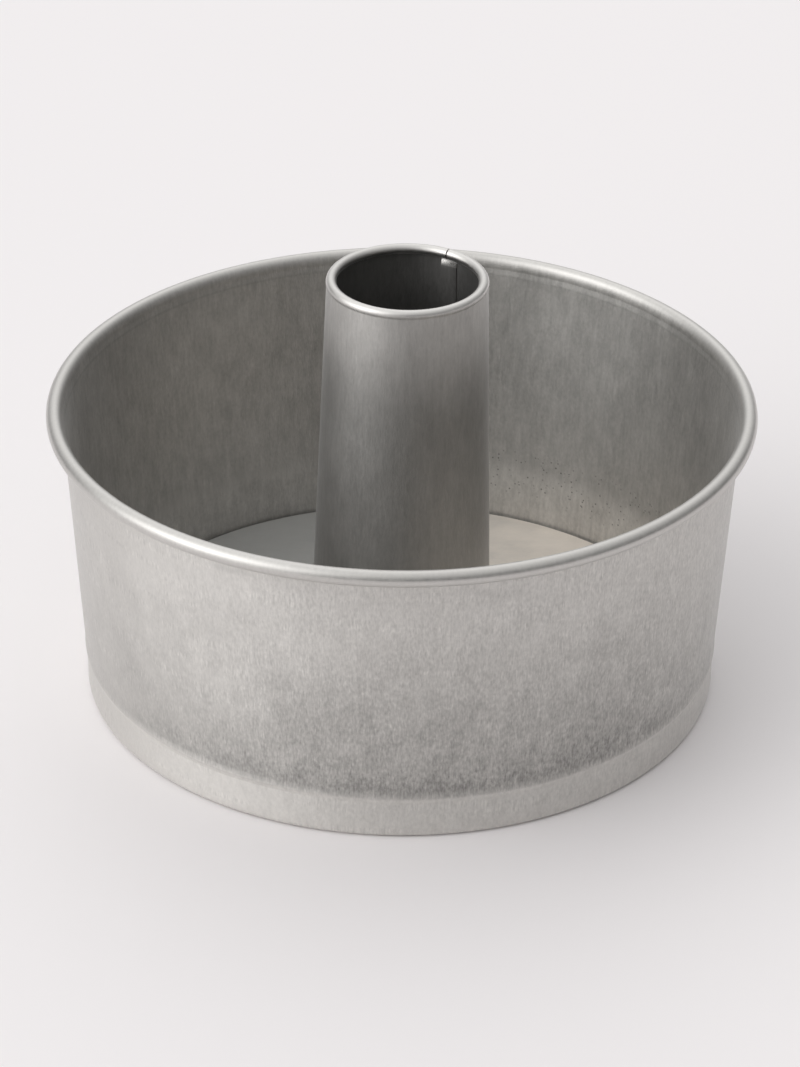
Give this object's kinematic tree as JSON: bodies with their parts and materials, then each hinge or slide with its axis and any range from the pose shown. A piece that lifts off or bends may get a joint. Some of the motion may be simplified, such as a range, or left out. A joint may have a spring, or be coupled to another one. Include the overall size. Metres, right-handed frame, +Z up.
{
  "type": "angel food cake pan",
  "caption": "Deep tapered round cake pan of satin aluminium with a rolled rim and a loose flat bottom, which carries a hollow centre tube and lifts out to free a tall ring cake.",
  "frame": {"origin": "on the table, on the pan's axis, at the centre of the ring's underside", "axes": "+Z up along the pan's axis; the tube's lock seam is at 57 degrees from +X towards +Y, the back right as seen from -Y"},
  "size_m": [0.189, 0.189, 0.1185],
  "materials": {
    "ring_aluminium": "satin drawn sheet with fine upright grain, greyer and mottled just above the foot band",
    "plate_aluminium": "satin rolled sheet",
    "tube_aluminium": "satin rolled sheet with fine upright grain"
  },
  "bodies": {
    "ring": {"outer_ring": "ring_aluminium"},
    "insert": {"base_plate": "plate_aluminium", "centre_tube": "tube_aluminium"}
  },
  "joints": [
    {"name": "insert_lift", "type": "slide", "parent": "ring", "child": "insert", "axis": [0, 0, 1], "range_m": [0, 0.1]}
  ]
}
